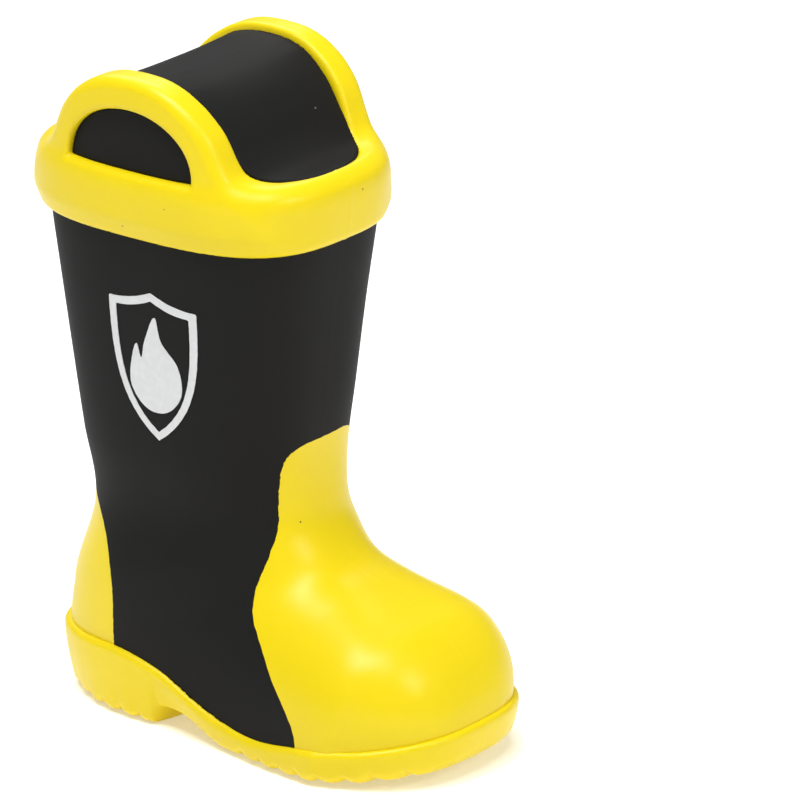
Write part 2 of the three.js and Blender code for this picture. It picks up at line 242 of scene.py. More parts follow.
# ---- details that only the visual model has
SKIN_TOP = 91.9  # upper edge of the shaft and of the foam body, inside the collar
REBATE = 0.45  # how far the skins reach down behind the sole's edge
AROUND = 330  # columns of the upper's grid
ANGLE_SAMPLES = 20001  # points that measure a section's length
STEPS = 18  # rows of the upper's grid between two sections
TYPICAL = dict(length=24, half=18, square=2.6)  # a section that the columns are spaced evenly round
# The parting ridge: its width, and its height on the upper (stronger behind) and on sole and collar.
SEAM = dict(width=0.3, upper=0.03, moulded=0.07, front=0.9, back=0.6, start=-10, run=20)
BEYOND = dict(toe=-70, heel=40, below=-20)  # outside the boot, where the zones' outlines close
EDGE_WOBBLE = 0.028  # unevenness of the painted edges
PRINT_WOBBLE = 0.012  # unevenness of the printed edges
EDGE_WAVES = [
    (0, 1.3, 2.1, 1),
    (-2.9, 0, 4.7, 1),
    (0, 9.1, 7.3, 0.7),
]  # radians per millimetre of x, y and z, share

FLANGE = 1.0  # radius of the sole's upper edge
FOOT_ROUND = 1.7  # radius of its lower edge
LEDGE = 0.6  # least width of the sole's edge outside the upper
WELT = dict(width=0.85, y=-24, run=10, blend=0.8)  # round the toe that edge keeps an even width
TUCK = dict(least=0.7, heel=1.1, heel_y=8, toe=0.8, toe_y=-40, run=10, curve=1.6)  # towards the foot
NOTCH = dict(depth=0.22, height=2.4)  # the tread's grooves seen on the sole's side
SEAT = dict(inset=0.3, gap=0.1)  # step in the sole's top that the skins stand in

COLLAR_JOIN = dict(handle=2.2, window=1.1, window_edge=0.1, mouth=0.8, leg=0.05, skin=0.2)
COVER_LAP = 0.45  # how far the cover reaches past the mouth's outline
COVER_SLOPE = 0.75  # evens out the distance to the vault's steep sides
CREST_REACH = 1.1  # share of the mouth's half width up to which the vault keeps rising
COVER_ROUND = dict(edge=0.2, collar=0.25)
WINDOW_LAP = 0.4
WINDOW_ROUND = 0.15
FIT_GAP = 0.02  # between the collar and the faces set into it

CORE_GAP = 0.35
CORE_STEP = 6  # the foam body takes every sixth row and column of the upper's grid
CORE_LIFT = 0.2  # its lower edge above the sole's
PRINT_REACH = 16  # half height of the patch of shaft that a print is cut from

# Meshing: step of the numerical slope, least slope trusted, and how often the vertices are settled.
SLOPE_STEP = 0.03
LEAST_SLOPE = 0.05
SETTLE_ROUNDS = 3
# Grids for the moulded pieces: low corner, high corner, cell.
SOLE_NET = ((-24.12, SOLE_TOE - 1.2, -0.9), (24, SOLE_HEEL + 1.2, 15), 0.36)
COLLAR_END = RIM["length"] + 1.3
COLLAR_NET = ((-23, RIM["y"] - COLLAR_END, BAND_FLOOR - 1.2), (23.2, RIM["y"] + COLLAR_END, 111.3), 0.4)
COVER_NET = ((-17.8, -27.6, COVER_FLOOR - 0.7), (17.8, 27.6, 109.8), 0.4)
WINDOW_NET = dict(inner=15, outer=22, half=13.6, margin=1, cell=0.35)

# The collar's box in the frame says how far the leg's own axis is from the frame's y = 0.
low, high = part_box("collar_with_handles")
LEG_Y = (low.y + high.y) / 2 / MM - RIM["y"]


# ---- curves and distances
def smooth(t):
    k = np.clip(t, 0, 1)
    return k * k * (3 - 2 * k)


def smooth_max(a, b, width):
    """The larger of a and b, rounded over width where they cross."""
    h = np.clip(0.5 - 0.5 * (b - a) / width, 0, 1)
    return b + (a - b) * h + width * h * (1 - h)


def smooth_min(a, b, width):
    return -smooth_max(-a, -b, width)


def round_edge(a, b, radius):
    """Both a < 0 and b < 0, with the edge between them rounded."""
    corner = np.hypot(np.maximum(a + radius, 0), np.maximum(b + radius, 0))
    return np.minimum(np.maximum(a, b), -radius) + corner


def signed_power(value, exponent):
    return np.sign(value) * np.abs(value) ** exponent


def seam(x, height):
    """The fine ridge that the mould's parting leaves on the middle plane."""
    return height * np.exp(-((x / SEAM["width"]) ** 2))


def wobble(p, size):
    """The slight unevenness of a masked paint edge."""
    waves = (share * np.sin(p[:, :3] @ (x, y, z)) for x, y, z, share in EDGE_WAVES)
    return size * sum(waves)


def along(rows, t):
    """Catmull-Rom through rows of numbers, at t counted in rows."""
    rows = np.asarray(rows, float)
    t = np.asarray(t, float)
    i = np.clip(np.floor(t).astype(int), 0, len(rows) - 2)
    f = (t - i)[:, None]
    a = rows[np.clip(i - 1, 0, None)]
    b = rows[i]
    c = rows[i + 1]
    d = rows[np.clip(i + 2, None, len(rows) - 1)]
    curve = 2 * a - 5 * b + 4 * c - d
    return b + 0.5 * f * (c - a + f * (curve + f * (3 * b - a - 3 * c + d)))


def smooth_line(points, steps):
    return along(points, np.linspace(0, len(points) - 1, (len(points) - 1) * steps + 1))


def blend(a, b, t, start, end):
    """From a at t = start to b at t = end."""
    return a + (b - a) * ((t - start) / (end - start))


def closed_line(points, steps):
    """Closed centripetal Catmull-Rom outline through points."""
    p = np.asarray(points, float)
    line = []
    for k in range(len(p)):
        q = p[[k - 1, k, (k + 1) % len(p), (k + 2) % len(p)]]
        gaps = np.sqrt(np.linalg.norm(np.diff(q, axis=0), axis=1))
        knot = np.concatenate([[0], np.cumsum(gaps)])
        for t in np.linspace(knot[1], knot[2], steps, endpoint=False):
            straight = [blend(q[i], q[i + 1], t, knot[i], knot[i + 1]) for i in range(3)]
            bent = [blend(straight[i], straight[i + 1], t, knot[i], knot[i + 2]) for i in range(2)]
            line.append(blend(*bent, t, knot[1], knot[2]))
    return np.array(line)


def bezier(points, count):
    """A Bezier curve of any degree, from its first point to its last."""
    t = np.linspace(0, 1, count)[:, None]
    level = np.asarray(points, float)[:, None] + 0 * t
    while len(level) > 1:
        level = blend(level[:-1], level[1:], t, 0, 1)
    return level[0]


def outline_distance(outline, u, v):
    """Signed distance from points (u, v) to a closed outline, negative inside."""
    start = np.asarray(outline, float)
    step = np.roll(start, -1, 0) - start
    nearest = np.full(u.shape, 1e9)
    inside = np.zeros(u.shape, bool)
    for (a, b), (da, db) in zip(start, step):
        t = np.clip(((u - a) * da + (v - b) * db) / (da * da + db * db + 1e-12), 0, 1)
        nearest = np.minimum(nearest, (u - a - t * da) ** 2 + (v - b - t * db) ** 2)
        if db:
            inside ^= ((b > v) != (b + db > v)) & (u < a + (v - b) * da / db)
    return np.where(inside, -1, 1) * np.sqrt(nearest)


class DistanceMap:
    """Signed distance to an outline, kept on a fine square grid for quick reading."""

    STEP = 0.2

    def __init__(self, outline, margin):
        outline = np.asarray(outline, float)
        self.low = outline.min(0) - margin
        high = outline.max(0) + margin
        u, v = (np.arange(a, b, self.STEP) for a, b in zip(self.low, high))
        self.value = outline_distance(outline, *np.meshgrid(u, v, indexing="ij"))

    def __call__(self, u, v):
        rows, cols = self.value.shape
        i = np.clip((u - self.low[0]) / self.STEP, 0, rows - 1.001)
        j = np.clip((v - self.low[1]) / self.STEP, 0, cols - 1.001)
        i0, j0 = i.astype(int), j.astype(int)
        fi, fj = i - i0, j - j0
        near = self.value[i0, j0] * (1 - fj) + self.value[i0, j0 + 1] * fj
        far = self.value[i0 + 1, j0] * (1 - fj) + self.value[i0 + 1, j0 + 1] * fj
        return near * (1 - fi) + far * fi


def oval_distance(x, y, half, length, square):
    """Signed distance to a squared oval, true near its edge."""
    u, v = np.abs(x) / half + 1e-9, np.abs(y) / length + 1e-9
    g = (u**square + v**square) ** (1 / square)
    slope = g ** (1 - square) * np.hypot(u ** (square - 1) / half, v ** (square - 1) / length)
    return (g - 1) / slope


# ---- meshes from signed distances
def add_object(name, points, faces, sharp_edges=None):
    """A mesh object from points in leg millimetres and a list of face index arrays."""
    mesh = bpy.data.meshes.new(name)
    co = np.asarray(points, float).copy()
    co[:, 1] += LEG_Y
    mesh.vertices.add(len(co))
    mesh.vertices.foreach_set("co", (co * MM).astype(np.float32).ravel())
    corners = np.concatenate([f.ravel() for f in faces])
    sizes = np.concatenate([np.full(len(f), f.shape[1]) for f in faces])
    mesh.loops.add(len(corners))
    mesh.loops.foreach_set("vertex_index", corners.astype(np.int32))
    mesh.polygons.add(len(sizes))
    starts = np.concatenate([[0], np.cumsum(sizes)[:-1]])
    mesh.polygons.foreach_set("loop_start", starts.astype(np.int32))
    mesh.update(calc_edges=True)
    mesh.validate()
    mesh.shade_smooth()
    if sharp_edges is not None:
        mark_sharp(mesh, sharp_edges)
    obj = bpy.data.objects.new(name, mesh)
    bpy.context.scene.collection.objects.link(obj)
    return obj


def mark_sharp(mesh, pairs):
    """Marks the mesh edges that join these pairs of vertices as sharp."""
    ends = np.zeros(len(mesh.edges) * 2, np.int32)
    mesh.edges.foreach_get("vertices", ends)
    count = len(mesh.vertices)
    ends = np.sort(ends.reshape(-1, 2).astype(np.int64), 1)
    wanted = np.sort(np.asarray(pairs, np.int64), 1)
    sharp = np.isin(ends[:, 0] * count + ends[:, 1], wanted[:, 0] * count + wanted[:, 1])
    layer = mesh.attributes.new("sharp_edge", "BOOLEAN", "EDGE")
    layer.data.foreach_set("value", sharp)


def surface_net(field, low, high, cell):
    """Closed mesh of the surface field = 0 (negative inside), its vertices settled on that surface."""
    low = np.asarray(low, float)
    axes = [np.arange(a, b + cell, cell) for a, b in zip(low, high)]
    value = field(*np.meshgrid(*axes, indexing="ij"))
    cells = np.array(value.shape) - 1
    total = np.zeros((int(cells.prod()), 3))
    count = np.zeros(len(total))
    quads = []
    for axis in range(3):
        near = np.moveaxis(value, axis, 0)[:-1]
        far = np.moveaxis(value, axis, 0)[1:]
        moved = np.argwhere((near < 0) != (far < 0))
        v0 = near[tuple(moved.T)]
        v1 = far[tuple(moved.T)]
        others = [k for k in range(3) if k != axis]
        index = np.empty_like(moved)
        index[:, axis] = moved[:, 0]
        index[:, others[0]] = moved[:, 1]
        index[:, others[1]] = moved[:, 2]
        point = low + index * cell
        point[:, axis] += v0 / (v0 - v1) * cell
        u, w = (axis + 1) % 3, (axis + 2) % 3
        around = []
        for du, dw in ((0, 0), (-1, 0), (-1, -1), (0, -1)):
            c = index.copy()
            c[:, u] += du
            c[:, w] += dw
            ids = np.ravel_multi_index(tuple(c.T), tuple(cells))
            around.append(ids)
            count += np.bincount(ids, minlength=len(total))
            for k in range(3):
                total[:, k] += np.bincount(ids, point[:, k], minlength=len(total))
        quad = np.stack(around, 1)
        quads.append(np.where((v0 < 0)[:, None], quad, quad[:, ::-1]))
    used = np.flatnonzero(count)
    new_index = np.zeros(len(total), int)
    new_index[used] = np.arange(len(used))
    points = total[used] / count[used, None]
    for _ in range(SETTLE_ROUNDS):
        points = settle(field, points, cell / 2)
    return points, new_index[np.concatenate(quads)]


def settle(field, points, limit):
    """One Newton step of the points towards field = 0."""
    here = field(*points.T)
    slope = np.empty_like(points)
    for k in range(3):
        step = np.zeros(3)
        step[k] = SLOPE_STEP
        slope[:, k] = (field(*(points + step).T) - field(*(points - step).T)) / (2 * SLOPE_STEP)
    move = here[:, None] * slope / np.maximum((slope**2).sum(1), LEAST_SLOPE)[:, None]
    length = np.linalg.norm(move, axis=1, keepdims=True)
    return points - move * np.minimum(1, limit / np.maximum(length, 1e-9))


# ---- patches of surface: rows of points, each with its normal, and triangles between them
def used_only(points, triangles):
    used, flat = np.unique(triangles, return_inverse=True)
    return points[used], flat.reshape(-1, 3)


def triangle_edges(triangles):
    return np.concatenate([triangles[:, [0, 1]], triangles[:, [1, 2]], triangles[:, [2, 0]]])


def clip(points, triangles, value):
    """The part of a patch where value < 0, cut exactly at 0."""
    keep = value < 0
    state = keep[triangles].sum(1)
    made = [triangles[state == 3]]
    new_points, cache = [], {}

    def cut(p, q):
        key = (min(p, q), max(p, q))
        if key not in cache:
            p, q = key
            t = value[p] / (value[p] - value[q])
            cache[key] = len(points) + len(new_points)
            new_points.append(points[p] + (points[q] - points[p]) * t)
        return cache[key]

    extra = []
    for tri in triangles[(state == 1) | (state == 2)]:
        inside = keep[tri]
        turn = int(np.argmax(inside)) if inside.sum() == 1 else int(np.argmin(inside))
        p, q, r = np.roll(tri, -turn)
        pq, pr = cut(p, q), cut(p, r)
        if inside.sum() == 1:
            extra.append((p, pq, pr))
        else:
            extra += [(pq, q, r), (pq, r, pr)]
    if new_points:
        points = np.concatenate([points, new_points])
        made.append(np.array(extra))
    return used_only(points, np.concatenate(made))


def weld(points, triangles, near=1e-3):
    """Joins points that lie together, and drops the triangles that this closes up."""
    rounded = np.round(points[:, :3] / near)
    _, first, to = np.unique(rounded, axis=0, return_index=True, return_inverse=True)
    tri = to.reshape(-1)[triangles]
    ok = (tri[:, 0] != tri[:, 1]) & (tri[:, 1] != tri[:, 2]) & (tri[:, 0] != tri[:, 2])
    return points[first], tri[ok]


def refine(points, triangles):
    """Each triangle in four."""
    edges = np.sort(triangle_edges(triangles), 1)
    unique, to = np.unique(edges, axis=0, return_inverse=True)
    middle = (points[unique[:, 0]] + points[unique[:, 1]]) / 2
    ab, bc, ca = to.reshape(3, -1) + len(points)
    a, b, c = triangles.T
    parts = [(a, ab, ca), (ab, b, bc), (ca, bc, c), (ab, bc, ca)]
    return np.concatenate([points, middle]), np.concatenate([np.stack(p, 1) for p in parts])


def border(triangles):
    """Directed edges that only one triangle has."""
    edges = triangle_edges(triangles)
    size = int(edges.max()) + 1
    forward = edges[:, 0].astype(np.int64) * size + edges[:, 1]
    backward = edges[:, 1].astype(np.int64) * size + edges[:, 0]
    return edges[~np.isin(forward, backward)]


def skin_object(name, surface, triangles, outside, inside):
    """A closed shell on a patch of surface, from outside to inside measured along its normals."""
    surface, triangles = weld(surface, triangles)
    points, normals = surface[:, :3], surface[:, 3:6]
    normals = normals / np.linalg.norm(normals, axis=1, keepdims=True)
    count = len(points)
    rim = border(triangles)
    walls = np.stack([rim[:, 1], rim[:, 0], rim[:, 0] + count, rim[:, 1] + count], 1)
    both = np.concatenate([points + normals * outside, points + normals * inside])
    faces = [triangles, triangles[:, ::-1] + count, walls]
    return add_object(name, both, faces, np.concatenate([rim, rim + count]))


# ---- upper: one smooth surface, cut into its coloured zones
def upper_rows():
    rows = [list(row) for row in SECTIONS]
    for degrees in TOE_STEPS:
        a = math.radians(degrees)
        front = TOE["y"] - TOE["length"] * math.sin(a)
        rise = TOE["height"] * math.cos(a)
        back = front + TOE["drop"] * math.cos(a)
        half = TOE["half"] * math.cos(a) ** TOE["taper"]
        rows.append([front, TOE["z"] + rise, back, TOE["z"] - rise, half, TOE["square"]])
    return rows


UPPER_ROWS = smooth_line(upper_rows(), STEPS)
LEG_ROWS = UPPER_ROWS[: 3 * STEPS][::-1]  # the straight leg, from its lower end up


def even_angles(count):
    """Angles that step evenly round a typical section of the leg, the first on the front centreline."""
    a = np.linspace(0, 2 * np.pi, ANGLE_SAMPLES)
    front = TYPICAL["length"] * signed_power(np.cos(a), 2 / TYPICAL["square"])
    side = TYPICAL["half"] * signed_power(np.sin(a), 2 / TYPICAL["square"])
    length = np.concatenate([[0], np.cumsum(np.hypot(np.diff(front), np.diff(side)))])
    return np.interp(np.arange(count) / count * length[-1], length, a)


def upper_grid():
    """Points of the upper's outer surface, rows by columns."""
    front_y, front_z, back_y, back_z, half, square = (UPPER_ROWS[:, k, None] for k in range(6))
    a = even_angles(AROUND)[None, :]
    c = signed_power(np.cos(a), 2 / square)
    s = signed_power(np.sin(a), 2 / square)
    y = (front_y + back_y) / 2 + (front_y - back_y) / 2 * c
    z = (front_z + back_z) / 2 + (front_z - back_z) / 2 * c
    return np.stack([half * s, y, z], 2)


def grid_normals(grid):
    down = np.gradient(grid, axis=0)
    ring = (np.roll(grid, -1, 1) - np.roll(grid, 1, 1)) / 2
    normal = np.cross(down, ring)
    return normal / np.maximum(np.linalg.norm(normal, axis=2, keepdims=True), 1e-9)


def grid_triangles(rows, cols):
    i, j = np.meshgrid(np.arange(rows - 1), np.arange(cols), indexing="ij")
    a = (i * cols + j).ravel()
    b = (i * cols + (j + 1) % cols).ravel()
    c, d = a + cols, b + cols
    return np.concatenate([np.stack([a, c, d], 1), np.stack([a, d, b], 1)])


def upper_surface():
    """The upper's grid with the mould's seam on it, and its outward normals."""
    grid = upper_grid()
    normals = grid_normals(grid)
    behind = smooth((grid[:, :, 1:2] - SEAM["start"]) / SEAM["run"])
    ridge = seam(grid[:, :, :1], SEAM["upper"]) * (SEAM["front"] + SEAM["back"] * behind)
    return grid + normals * ridge, normals


SOLE_TOP_LINE = smooth_line(SOLE_TOP, steps=6)


def sole_top(x, y):
    """Height of the sole's upper edge, a little higher on the left flank than on the right."""
    back = smooth((y - SOLE_TILT["start"]) / SOLE_TILT["run"])
    tilt = SOLE_TILT["toe"] + (SOLE_TILT["heel"] - SOLE_TILT["toe"]) * back
    return np.interp(y, SOLE_TOP_LINE[:, 0], SOLE_TOP_LINE[:, 1]) + tilt * x / SOLE_TILT["half"]


def find_crease(grid):
    """The line where the upper meets the sole's upper edge, one point to each column of the grid."""
    height = grid[:, :, 2] - sole_top(grid[:, :, 0], grid[:, :, 1])
    crease = []
    for column in range(AROUND):
        row = int(np.argmax(height[:, column] < 0)) - 1
        t = height[row, column] / (height[row, column] - height[row + 1, column])
        crease.append(grid[row, column] + (grid[row + 1, column] - grid[row, column]) * t)
    return np.array(crease)


def zone_distance(surface, line, end):
    """Signed distance to a zone: its border line, closed on the far side at y = end, beyond the boot."""
    down = smooth_line(line, steps=8)
    below = BEYOND["below"]
    outline = np.concatenate([[(end, line[0][1])], down, [(down[-1][0], below), (end, below)]])
    return outline_distance(outline, surface[:, 1], surface[:, 2])


def toe_value(surface):
    lines = (TOE_LINE_RIGHT, TOE_LINE_LEFT)
    right, left = (zone_distance(surface, line, BEYOND["toe"]) for line in lines)
    return np.where(surface[:, 0] < 0, right, left) + wobble(surface, EDGE_WOBBLE)


def heel_value(surface):
    return zone_distance(surface, HEEL_LINE, BEYOND["heel"]) + wobble(surface, EDGE_WOBBLE)


def upper_zones(grid, normals):
    """The upper's surface cut into shaft, toe cap and heel counter."""
    surface = np.concatenate([grid, normals], 2).reshape(-1, 6)
    triangles = grid_triangles(*grid.shape[:2])
    surface, triangles = clip(surface, triangles, surface[:, 2] - SKIN_TOP)
    lower_edge = sole_top(surface[:, 0], surface[:, 1]) - REBATE
    surface, triangles = clip(surface, triangles, lower_edge - surface[:, 2])
    toe = toe_value(surface)
    toe_part = clip(surface, triangles, toe)
    surface, triangles = clip(surface, triangles, -toe)
    heel = heel_value(surface)
    return clip(surface, triangles, -heel), toe_part, clip(surface, triangles, heel)


# ---- outsole
def toe_spring(y):
    t = np.maximum((SPRING["start"] - y) / (SPRING["start"] - SOLE_TOE), 0)
    return SPRING["rise"] * t * t


def tread(y):
    """Depth of the grooves across the sole, as a share."""
    share = 0
    for start, end in (TREAD["heel"], TREAD["fore"]):
        groove = 1 - np.abs(np.sin(np.pi * (y - start) / TREAD["pitch"])) ** TREAD["shape"]
        begin = smooth((y - start + TREAD["fade"]) / TREAD["fade"])
        finish = smooth((end + TREAD["fade"] - y) / TREAD["fade"])
        share = share + groove * begin * finish
    return share


def ground(x, y):
    """Height of the sole's underside above the ground, and the grooves' share in it."""
    breast = ARCH["breast"] - ARCH["bulge"] * (1 - np.minimum(np.abs(x) / ARCH["half"], 1) ** 2)
    hollow = ARCH["top"] * smooth((breast + ARCH["lip"] - y) / ARCH["step"])
    hollow = hollow * smooth((y - ARCH["end"]) / ARCH["run"])
    grooves = tread(y)
    return toe_spring(y) + hollow + TREAD["depth"] * grooves, grooves


def sole_tuck(y, z, top, floor, grooves):
    """How far the sole's side is drawn in: towards the foot, at the waist and at the grooves' ends."""
    down = np.clip((top - FLANGE - z) / np.maximum(top - FLANGE - floor, 1), 0, 1)
    heel = TUCK["heel"] * smooth((y - TUCK["heel_y"]) / TUCK["run"])
    toe = TUCK["toe"] * smooth((TUCK["toe_y"] - y) / TUCK["run"])
    tuck = (TUCK["least"] + heel + toe) * down ** TUCK["curve"]
    near_waist = np.exp(-(((y - WAIST["y"]) / WAIST["reach"]) ** 2))
    tuck = tuck + WAIST["tuck"] * near_waist * smooth(down * WAIST["onset"])
    return tuck + NOTCH["depth"] * grooves * smooth((floor + NOTCH["height"] - z) / NOTCH["height"])


def sole_field(plan, crease):
    def field(x, y, z):
        top = sole_top(x, y)
        floor, grooves = ground(x, y)
        away = crease(x, y)
        outline = plan(x, y)
        outline = outline + (away - WELT["width"] - outline) * smooth((WELT["y"] - y) / WELT["run"])
        outline = smooth_min(outline, away - LEDGE, WELT["blend"])
        wall = outline + sole_tuck(y, z, top, floor, grooves) - seam(x, SEAM["moulded"])
        lid = np.where(away < -SEAT["inset"], top - REBATE - SEAT["gap"], top)
        body = round_edge(wall, z - lid, FLANGE)
        return round_edge(body, floor - z, FOOT_ROUND)

    return field


def make_outsole(crease):
    right = [(0, SOLE_HEEL), *[(half, y) for y, half in SOLE_HALVES], (0, SOLE_TOE)]
    left = [(-half, y) for y, half in reversed(SOLE_HALVES)]
    plan = DistanceMap(closed_line([*right, *left], steps=14), margin=3)
    crease_map = DistanceMap(crease[::2, :2], margin=4)
    points, quads = surface_net(sole_field(plan, crease_map), *SOLE_NET)
    return add_object("outsole_moulding", points, [quads])


# ---- collar with pull handles, and the faces set into it
def leg_distance(x, y, z):
    front, back, half, square = (np.interp(z, LEG_ROWS[:, 1], LEG_ROWS[:, k]) for k in (0, 2, 4, 5))
    return oval_distance(x, y - (front + back) / 2, half, (back - front) / 2, square)


def rim_distance(x, y):
    return oval_distance(x, y - RIM["y"], RIM["half"], RIM["length"], RIM["square"])


def mouth_distance(x, y):
    return oval_distance(x, y - MOUTH["y"], MOUTH["half"], MOUTH["length"], MOUTH["square"])


def handle_face(x, y, z):
    """Signed distance to the handles' outer faces, which lean inwards as they rise."""
    return rim_distance(x, y) + HANDLE["lean"] * np.maximum(z - HANDLE["from_z"], 0)


def window_outline():
    a = np.linspace(0, np.pi, 41)
    rise = (WINDOW["top"] - WINDOW["bottom"]) * np.sin(a) ** WINDOW["curve"]
    arch = np.stack([WINDOW["half"] * np.cos(a), WINDOW["bottom"] + rise], 1)
    u = np.linspace(-1, 1, 21)[1:-1]
    sill = np.stack([WINDOW["half"] * u, WINDOW["bottom"] - WINDOW["sag"] * (1 - u * u)], 1)
    return np.concatenate([arch, sill])


def handle_outline():
    side = smooth_line(HANDLE_LINE, steps=8)
    return np.concatenate([side, side[-2::-1] * (-1, 1)])


def band_outline():
    return np.concatenate([smooth_line(BAND, steps=6), [(BAND[-1][0], BAND_FLOOR)]])


def collar_field(window):
    band = DistanceMap(band_outline(), margin=6)
    arch = DistanceMap(handle_outline(), margin=8)

    def field(x, y, z):
        ring = band(rim_distance(x, y), z)
        plate = np.abs(handle_face(x, y, z) + HANDLE["thick"] / 2) - HANDLE["thick"] / 2
        bar = round_edge(plate, arch(y, z), HANDLE["top"])
        body = smooth_min(ring, bar, COLLAR_JOIN["handle"]) - seam(x, SEAM["moulded"])
        cut = smooth_max(window(y, z), WINDOW["inner"] - np.abs(x), COLLAR_JOIN["window_edge"])
        body = smooth_max(body, -cut, COLLAR_JOIN["window"])
        body = smooth_max(body, -mouth_distance(x, y), COLLAR_JOIN["mouth"])
        inside_leg = leg_distance(x, y, z) - COLLAR_JOIN["leg"]
        return np.maximum(body, -np.maximum(inside_leg, z - SKIN_TOP - COLLAR_JOIN["skin"]))

    return field


def make_collar(collar):
    points, quads = surface_net(collar, *COLLAR_NET)
    return add_object("collar_moulding", points, [quads])


def cover_top(x, y):
    """Height of the vault over the mouth: a lower middle line between the crests at its two sides."""
    middle, crest = (smooth_line(table, steps=8) for table in (COVER_MIDDLE, COVER_CREST))
    middle = np.interp(np.abs(y), middle[:, 0], middle[:, 1])
    crest = np.interp(np.abs(y), crest[:, 0], crest[:, 1])
    return middle + (crest - middle) * np.minimum(np.abs(x) / MOUTH["half"], CREST_REACH) ** 2


def make_cover(collar):
    def field(x, y, z):
        lid = (z - cover_top(x, y)) * COVER_SLOPE
        slab = np.maximum(lid, COVER_FLOOR - z)
        slab = smooth_max(slab, mouth_distance(x, y) - COVER_LAP, COVER_ROUND["edge"])
        return smooth_max(slab, FIT_GAP - collar(x, y, z), COVER_ROUND["collar"])

    points, quads = surface_net(field, *COVER_NET)
    return add_object("mouth_membrane", points, [quads])


def make_window(name, side, collar, window):
    """The black face behind a handle's window; side is 1 on the left flank and -1 on the right."""

    def field(x, y, z):
        face = handle_face(x, y, z) + WINDOW["recess"]
        slab = np.maximum(face, -face - WINDOW["thick"])
        slab = np.maximum(slab, WINDOW["inner"] - side * x)
        slab = np.maximum(slab, window(y, z) - WINDOW_LAP)
        return smooth_max(slab, FIT_GAP - collar(x, y, z), WINDOW_ROUND)

    ends = sorted((side * WINDOW_NET["inner"], side * WINDOW_NET["outer"]))
    low = (ends[0], -WINDOW_NET["half"], WINDOW["bottom"] - WINDOW_NET["margin"])
    high = (ends[1], WINDOW_NET["half"], WINDOW["top"] + WINDOW_NET["margin"])
    points, quads = surface_net(field, low, high, WINDOW_NET["cell"])
    return add_object(name, points, [quads])


# ---- printed badge
def shield_outline():
    half, top, bottom = SHIELD["half"], SHIELD["top"], SHIELD["bottom"]
    shoulder = top * SHIELD["shoulder"]
    crown = bezier([(0, top), (half * SHIELD["dip"], shoulder), (half, shoulder)], count=7)
    belly = (half * SHIELD["belly"], bottom * SHIELD["hip"])
    side = bezier([(half, shoulder), (half, 0), belly, (0, bottom)], count=13)
    right = np.concatenate([crown, side[1:]])
    return np.concatenate([right, right[-2:0:-1] * (-1, 1)])


def make_print(name, shaft, outline, hole=None):
    """A thin print on the shaft's right flank, in the shape of an outline that may have a hole."""
    surface, triangles = shaft
    place = np.array((PRINT["y"], PRINT["z"]))
    near = (surface[:, 0] < 0) & (np.abs(surface[:, 2] - PRINT["z"]) < PRINT_REACH)
    surface, triangles = refine(*used_only(surface, triangles[near[triangles].all(1)]))
    value = outline_distance(outline + place, surface[:, 1], surface[:, 2])
    if hole is not None:
        value = np.maximum(value, -outline_distance(hole + place, surface[:, 1], surface[:, 2]))
    surface, triangles = clip(surface, triangles, value + wobble(surface, PRINT_WOBBLE))
    return skin_object(name, surface, triangles, PRINT["lift"] + PRINT["thick"], PRINT["lift"])


# ---- foam inside
def make_core(grid, normals):
    """The foam body: the upper's surface set inwards, closed over the sole and under the mouth."""
    inner = (grid - normals * (SKIN + CORE_GAP))[::CORE_STEP, ::CORE_STEP]
    points, triangles = inner.reshape(-1, 3), grid_triangles(*inner.shape[:2])
    points, triangles = clip(points, triangles, points[:, 2] - SKIN_TOP)
    lower_edge = sole_top(points[:, 0], points[:, 1]) + CORE_LIFT
    points, triangles = weld(*clip(points, triangles, lower_edge - points[:, 2]))
    core = add_object("foam_body", points, [triangles])
    mesh = bmesh.new()
    mesh.from_mesh(core.data)
    bmesh.ops.triangle_fill(mesh, use_beauty=True, edges=[e for e in mesh.edges if e.is_boundary])
    bmesh.ops.recalc_face_normals(mesh, faces=mesh.faces)
    mesh.to_mesh(core.data)
    mesh.free()
    return core


# ---- the pieces
grid, normals = upper_surface()
shaft_part, toe_part, heel_part = upper_zones(grid, normals)
shaft = skin_object("shaft_cover", *shaft_part, 0, -SKIN)
toe_cap = skin_object("toe_cap_moulding", *toe_part, 0, -SKIN)
heel_counter = skin_object("heel_counter_moulding", *heel_part, 0, -SKIN)
outsole = make_outsole(find_crease(grid))
window_map = DistanceMap(window_outline(), margin=6)
collar_shape = collar_field(window_map)
collar = make_collar(collar_shape)
cover = make_cover(collar_shape)
window_left = make_window("window_face_left", 1, collar_shape, window_map)
window_right = make_window("window_face_right", -1, collar_shape, window_map)
shield = shield_outline()
shrink = (1 - SHIELD["band"] / SHIELD["half"], 1 - SHIELD["band"] / SHIELD["top"])
badge_ring = make_print("badge_ring", shaft_part, shield, shield * shrink)
flame = make_print("badge_flame", shaft_part, closed_line(FLAME, steps=6))
core = make_core(grid, normals)


# ---- materials
# crease is a darker colour that paints shade into the parting line's groove down the back
YELLOW_PAINT = dict(
    color=(0.84, 0.655, 0.006),
    shade=(0.81, 0.625, 0.006),
    fleck=(0.12, 0.09, 0.02),
    crease=(0.58, 0.42, 0.004),
    roughness=0.35,
    gloss=0.28,
)
BLACK_PAINT = dict(
    color=(0.0104, 0.0102, 0.0099),
    shade=(0.0124, 0.0122, 0.0118),
    fleck=(0.16, 0.16, 0.15),
    crease=(0.002, 0.002, 0.002),
    roughness=0.62,
    gloss=0.1,
)
COVER_PAINT = dict(BLACK_PAINT, crease=None, roughness=0.6, gloss=0.11)
RAW_FOAM = (0.70, 0.55, 0.20)
# painted shade: the darker colour at the bottom of the foam's pits
RAW_PIT_SHADE = (0.42, 0.30, 0.08)
PRINT_WHITE = (0.74, 0.75, 0.75)
PRINT_SHADE = (0.62, 0.63, 0.63)
PRINT_ROUGHNESS = 0.55
RAW_ROUGHNESS = 0.9
